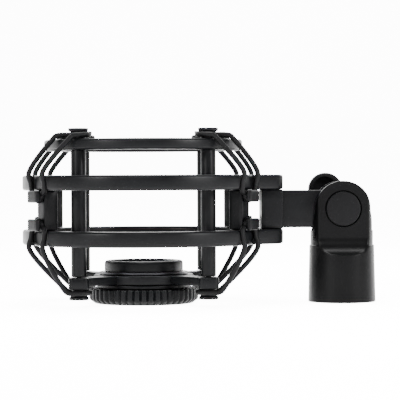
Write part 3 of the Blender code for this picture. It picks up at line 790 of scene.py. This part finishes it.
class MOUNT_OT_adapter(bpy.types.Operator):
    """Build the stand adapter with its clevis, thread insert and pivot"""
    bl_idname = "mount.adapter"
    bl_label = "Stand adapter"

    def execute(self, context):
        add_piece("stand_adapter_shell", self.body(), "adapter", "stand_adapter", ["adapter_body"])
        self.insert(context.scene.mount_sizes.thread_pitch / MM)
        low, high = span("pivot_bolt", 1)
        bolt = revolve("bolt", rod_profile(BOLT_RADIUS, low, high, 0.3), PIVOT, 48, True)
        add_piece("pivot_pin", bolt, "steel", "stand_adapter", ["pivot_bolt"])
        low, high = span("pivot_cap", 1)
        section = rounded([(0, high), (CAP_RADIUS, high), (CAP_RADIUS, low), (0, low)], 0.45, 7, False)
        add_piece("round_pivot_cap", revolve("cap", section, PIVOT, 96, True), "plastic", "stand_adapter",
                  ["pivot_cap"])
        for side in ("front", "back"):
            low, high = span(f"friction_washer_{side}", 1)
            section = ring_profile(WASHER_RADIUS, BOLT_HOLE, low, high, 0.1)
            add_piece(f"pivot_washer_{side}", revolve("washer", section, PIVOT, 64, True), "nylon",
                      "stand_adapter", [f"friction_washer_{side}"])
        return {"FINISHED"}

    def insert(self, pitch):
        """The steel insert: a tube whose bore carries the stand thread."""
        low, high = span("thread_insert")
        rows = 100
        wall = rounded([(STAND_BORE, high), (INSERT_RADIUS, high), (INSERT_RADIUS, low), (STAND_BORE, low)],
                       0.25)
        bore = np.stack([np.full(rows, STAND_BORE), np.linspace(low + 0.4, high - 0.4, rows)], axis=1)
        thread = threading(STAND_BORE, low + 0.5, high - 0.5, pitch, 0.25)
        insert = revolve("insert", np.concatenate([wall, bore]), BARREL, 96, False, thread)
        add_piece("stand_thread_insert", insert, "steel", "stand_adapter", ["thread_insert"])

    def barrel_radius(self, levels):
        """A slow taper to the shoulder, a smooth step in to the head, and a small round at the foot."""
        radius = BARREL_FOOT + (BARREL_TOP - BARREL_FOOT) * np.clip(levels / SHOULDER_Z, 0, 1)
        step = np.clip((levels - SHOULDER_Z) / 0.5, 0, 1)
        radius = radius - (BARREL_TOP - HEAD_RADIUS) * step * step * (3 - 2 * step)
        foot = np.clip(1 - levels / 0.5, 0, 1)
        return radius - 0.5 * (1 - np.sqrt(np.clip(1 - foot ** 2, 0, 1)))

    def cheek_reach(self, levels, flat):
        """Distance to the flat cheeks: even above the run-out, out along a circle, then steeply out."""
        below = np.clip(RUNOUT_TOP - levels, 0, RUNOUT_RADIUS)
        reach = flat + RUNOUT_RADIUS - np.sqrt(np.clip(RUNOUT_RADIUS ** 2 - below ** 2, 0, None))
        return reach + 4.0 * np.clip(RUNOUT_TOP - RUNOUT_RADIUS + 0.3 - levels, 0, None)

    def crown_reach(self, levels, crown_radius):
        """Half width of the crown: a half circle above the pivot, flaring out below it."""
        flare_high, flare_out, beyond = 10.0, 1.5, 60.0
        rise = np.clip(levels - PIVOT[2], 0, crown_radius - 1e-4)
        reach = np.sqrt(crown_radius ** 2 - rise ** 2)
        flare = np.clip((PIVOT[2] - levels) / flare_high, 0, 1)
        reach = reach + (HEAD_RADIUS + flare_out - crown_radius) * flare ** 1.3
        return np.where(levels < PIVOT[2] - flare_high + 0.1, beyond, reach)

    def body(self):
        """The barrel and clevis as one surface: at each height and angle the radius is the softened least of
        the barrel's radius, the distance to the flat cheeks and the distance to the rounded crown."""
        top = span("adapter_body")[1]
        flat = -span("pivot_cap", 1)[0] - CAP_RISE
        crown_radius = top - PIVOT[2]
        levels = np.concatenate([
            np.linspace(0.0, 0.5, 5), np.linspace(0.9, 16.9, 14), np.linspace(17.0, RUNOUT_TOP + 0.4, 90),
            np.linspace(RUNOUT_TOP + 0.6, PIVOT[2], 36),
            PIVOT[2] + crown_radius * np.sin(np.linspace(0.02, np.pi / 2 - 0.015, 60)),
        ])[None, :]
        angle = np.linspace(0, 2 * np.pi, 480, endpoint=False)[:, None]
        walls = (self.barrel_radius(levels),
                 self.cheek_reach(levels, flat) / np.maximum(np.abs(np.sin(angle)), 1e-3),
                 self.crown_reach(levels, crown_radius) / np.maximum(np.abs(np.cos(angle)), 1e-3))
        soft, far = 0.22, 8
        least = np.minimum(np.minimum(walls[0], walls[1]), walls[2])
        total = sum(np.exp(-(np.minimum(wall, least + far) - least) / soft) for wall in walls)
        radius = np.maximum(least - soft * np.log(total), 0.05)
        points = turn_points(radius, np.broadcast_to(levels, radius.shape), angle, BARREL, False)
        rows, columns = radius.shape
        faces = [list(face) for face in grid_faces(rows, columns, True, False)]
        faces.append([k * columns for k in range(rows)][::-1])
        faces.append([k * columns + columns - 1 for k in range(rows)])
        shell = mesh_of("adapter", points.reshape(-1, 3), faces)
        slot = soft_box("slot", (-25, -SLOT_HALF, SLOT_FLOOR), (25, SLOT_HALF, top + 12), 0.6, 0.0, BARREL)
        bore = revolve("bore", rod_profile(INSERT_RADIUS + 0.3, -3, 14.3, 0.2), BARREL, 96)
        pivot = revolve("pivot_hole", rod_profile(BOLT_HOLE, -20, 20, 0.1), PIVOT, 48, True)
        section = rod_profile(RECESS_RADIUS, -20, -flat + RECESS_DEPTH, 0.2)
        recess = revolve("recess", section, PIVOT, 96, True)
        return combined(shell, [("DIFFERENCE", tool) for tool in (slot, bore, pivot, recess)])


class MOUNT_OT_knob(bpy.types.Operator):
    """Build the two-lobed wing knob and its insert"""
    bl_idname = "mount.knob"
    bl_label = "Wing knob"

    def execute(self, context):
        near, back = span("wing_knob", 1)
        c, s = math.cos(KNOB_REST), math.sin(KNOB_REST)
        sweep = np.linspace(-1.83, 1.83, 40)
        ends = [(side * KNOB_REACH + KNOB_LOBE * np.cos(turns), KNOB_LOBE * np.sin(turns))
                for side, turns in ((1, sweep), (-1, sweep + math.pi))]
        u, v = np.concatenate(ends, axis=1)
        outline = np.stack([u * c - v * s, u * s + v * c], axis=1)
        wings = prism("wings", outline, KNOB_FACE, back, 0.9, "Y", PIVOT)
        hub = revolve("hub", rod_profile(KNOB_LOBE, near, KNOB_FACE + 1.5, 0.4), PIVOT, 96, True)
        steps = [("UNION", hub)]
        for side in (-1, 1):
            at = PIVOT + np.array([side * (KNOB_REACH + 0.6) * c, 0, side * (KNOB_REACH + 0.6) * s])
            section = rod_profile(KNOB_LOBE - 1.9, KNOB_FACE - 3, back - 1.5, 0.3)
            steps.append(("DIFFERENCE", revolve("hollow", section, at, 64, True)))
        section = rod_profile(KNOB_SOCKET, near - 4, KNOB_FACE + 0.3, 0.1)
        steps.append(("DIFFERENCE", revolve("socket", section, PIVOT, 64, True)))
        section = rod_profile(BOLT_HOLE, near - 4, back - 0.9, 0.1)
        steps.append(("DIFFERENCE", revolve("stem", section, PIVOT, 48, True)))
        add_piece("clamp_wing_knob", combined(wings, steps), "plastic", "knob", ["wing_knob"])
        low, high = span("knob_insert", 1)
        insert = revolve("insert", ring_profile(KNOB_INSERT, BOLT_HOLE, low, high, 0.15), PIVOT, 64, True)
        add_piece("knob_brass_insert", insert, "brass", "knob", ["knob_insert"])
        return {"FINISHED"}


class MOUNT_OT_screws(bpy.types.Operator):
    """Build the post screws and the frame bolts"""
    bl_idname = "mount.screws"
    bl_label = "Screws"

    def execute(self, context):
        jobs = [("frame_bolt_arm", -1, "outer_frame")]
        for label, _, _ in CORNERS:
            jobs += [(f"top_screw_{label}", -1, "cage"), (f"bottom_screw_{label}", 1, "cage"),
                     (f"frame_bolt_{label}", -1, "outer_frame")]
        for node, sign, body in jobs:
            low, high = span(node)
            face = low if sign > 0 else high
            at = middle(node) * (1, 1, 0)
            screw = revolve("screw", screw_profile(face, sign, high - low), at, 32)
            add_piece(f"fine_{node}", screw, "steel", body, [node])
        return {"FINISHED"}


# --- stage ------------------------------------------------------------------------------------------------

class MOUNT_OT_stage(bpy.types.Operator):
    """Build the pale floor, the soft lights and the camera"""
    bl_idname = "mount.stage"
    bl_label = "Studio"

    def execute(self, context):
        self.floor()
        self.lights()
        self.camera(context)
        return {"FINISHED"}

    def floor(self):
        """A pale floor that sweeps up behind the object: flat, then a quarter circle, then a wall."""
        bend, depth, wide, tall, across = 0.6, 1.2, 4.0, 2.4, 9
        turns = np.linspace(0, np.pi / 2, 24)
        y = np.concatenate([[-3.0], depth + bend * np.sin(turns), [depth + bend]])
        z = np.concatenate([[0.0], bend * (1 - np.cos(turns)), [tall]])
        x = np.linspace(-wide, wide, across)[:, None]
        grid = np.stack(np.broadcast_arrays(x, y[None, :], z[None, :]), axis=-1)
        faces = grid_faces(across, len(y), False, False)
        mesh = bpy.data.meshes.new("studio_floor")
        mesh.from_pydata(grid.reshape(-1, 3).tolist(), [], faces.tolist())
        mesh.shade_smooth()
        floor = bpy.data.objects.new("studio_floor", mesh)
        bpy.context.scene.collection.objects.link(floor)
        material = grained("pale_floor", (0.80, 0.80, 0.80, 1.0), 0.7, grain=40.0, bump=0.0, spread=0.02,
                           mottle=3.0, shine=0.1)
        self.glow(material.node_tree)
        mesh.materials.append(material)

    def glow(self, tree):
        """The floor shines white for the camera and more weakly on the object."""
        shader = tree.nodes["Principled BSDF"]
        shader.inputs["Emission Color"].default_value = (1.0, 1.0, 1.0, 1.0)
        seen = tree.nodes.new("ShaderNodeLightPath")
        strength = tree.nodes.new("ShaderNodeMapRange")
        strength.inputs["To Min"].default_value = 3.2
        strength.inputs["To Max"].default_value = 11.0
        tree.links.new(seen.outputs["Is Camera Ray"], strength.inputs["Value"])
        tree.links.new(strength.outputs["Result"], shader.inputs["Emission Strength"])

    def lights(self):
        """Soft boxes at both sides, a large one above and one high in front, and white air all round."""
        rows = (
            ("left_box", (-0.55, -0.55, 0.30), 0.16, 8.0),
            ("right_box", (0.60, -0.45, 0.28), 0.20, 10.0),
            ("top_box", (0.0, 0.10, 0.80), 0.5, 22.0),
            ("front_box", (-0.10, -1.1, 0.75), 0.25, 7.0),
        )
        for name, at, size, power in rows:
            lamp = bpy.data.lights.new(name, "AREA")
            lamp.energy = power
            lamp.size = size
            holder = bpy.data.objects.new(name, lamp)
            holder.location = at
            aim = Vector((0.0, 0.0, 0.03)) - Vector(at)
            holder.rotation_euler = aim.to_track_quat("-Z", "Y").to_euler()
            bpy.context.scene.collection.objects.link(holder)
        world = bpy.data.worlds.new("studio_air")
        world.use_nodes = True
        air = world.node_tree.nodes["Background"]
        air.inputs["Color"].default_value = (1.0, 1.0, 1.0, 1.0)
        air.inputs["Strength"].default_value = 0.9
        bpy.context.scene.world = world

    def camera(self, context):
        """A long lens level with the cage, turned slightly towards the adapter."""
        lens = bpy.data.cameras.new("studio_camera")
        lens.lens = 166.5
        lens.sensor_width = 36.0
        holder = bpy.data.objects.new("studio_camera", lens)
        holder.location = (CAGE[0] * MM, -0.685, 0.0453)
        yaw, pitch, roll = math.radians(-1.75), math.radians(-0.62), math.radians(-0.25)
        level = Matrix.Rotation(math.pi / 2 + pitch, 4, "X")
        turn = Matrix.Rotation(yaw, 4, "Z") @ level @ Matrix.Rotation(roll, 4, "Z")
        holder.rotation_euler = turn.to_euler()
        context.scene.collection.objects.link(holder)
        context.scene.camera = holder


class MOUNT_PT_panel(bpy.types.Panel):
    """Lists the builders and the sizes and finishes they read"""
    bl_idname = "MOUNT_PT_panel"
    bl_label = "Shock Mount"
    bl_space_type = "VIEW_3D"
    bl_region_type = "UI"
    bl_category = "Shock Mount"

    def draw(self, context):
        for group in (context.scene.mount_sizes, context.scene.mount_finish):
            for name in group.__annotations__:
                self.layout.prop(group, name)
        for builder in BUILDERS:
            self.layout.operator(builder.bl_idname)


BUILDERS = (MOUNT_OT_cage, MOUNT_OT_lock_ring, MOUNT_OT_outer_frame, MOUNT_OT_bands, MOUNT_OT_adapter,
            MOUNT_OT_knob, MOUNT_OT_screws, MOUNT_OT_stage)
CLASSES = (MountSizes, MountFinish, *BUILDERS, MOUNT_PT_panel)


def register():
    """Register the classes and hang the property groups on the scene."""
    for item in CLASSES:
        bpy.utils.register_class(item)
    bpy.types.Scene.mount_sizes = bpy.props.PointerProperty(type=MountSizes)
    bpy.types.Scene.mount_finish = bpy.props.PointerProperty(type=MountFinish)


def unregister():
    """Undo register."""
    del bpy.types.Scene.mount_finish
    del bpy.types.Scene.mount_sizes
    for item in reversed(CLASSES):
        bpy.utils.unregister_class(item)


def main():
    """Build every piece and the stage."""
    register()
    for builder in BUILDERS:
        group, action = builder.bl_idname.split(".")
        getattr(getattr(bpy.ops, group), action)()


if __name__ == "__main__":
    main()
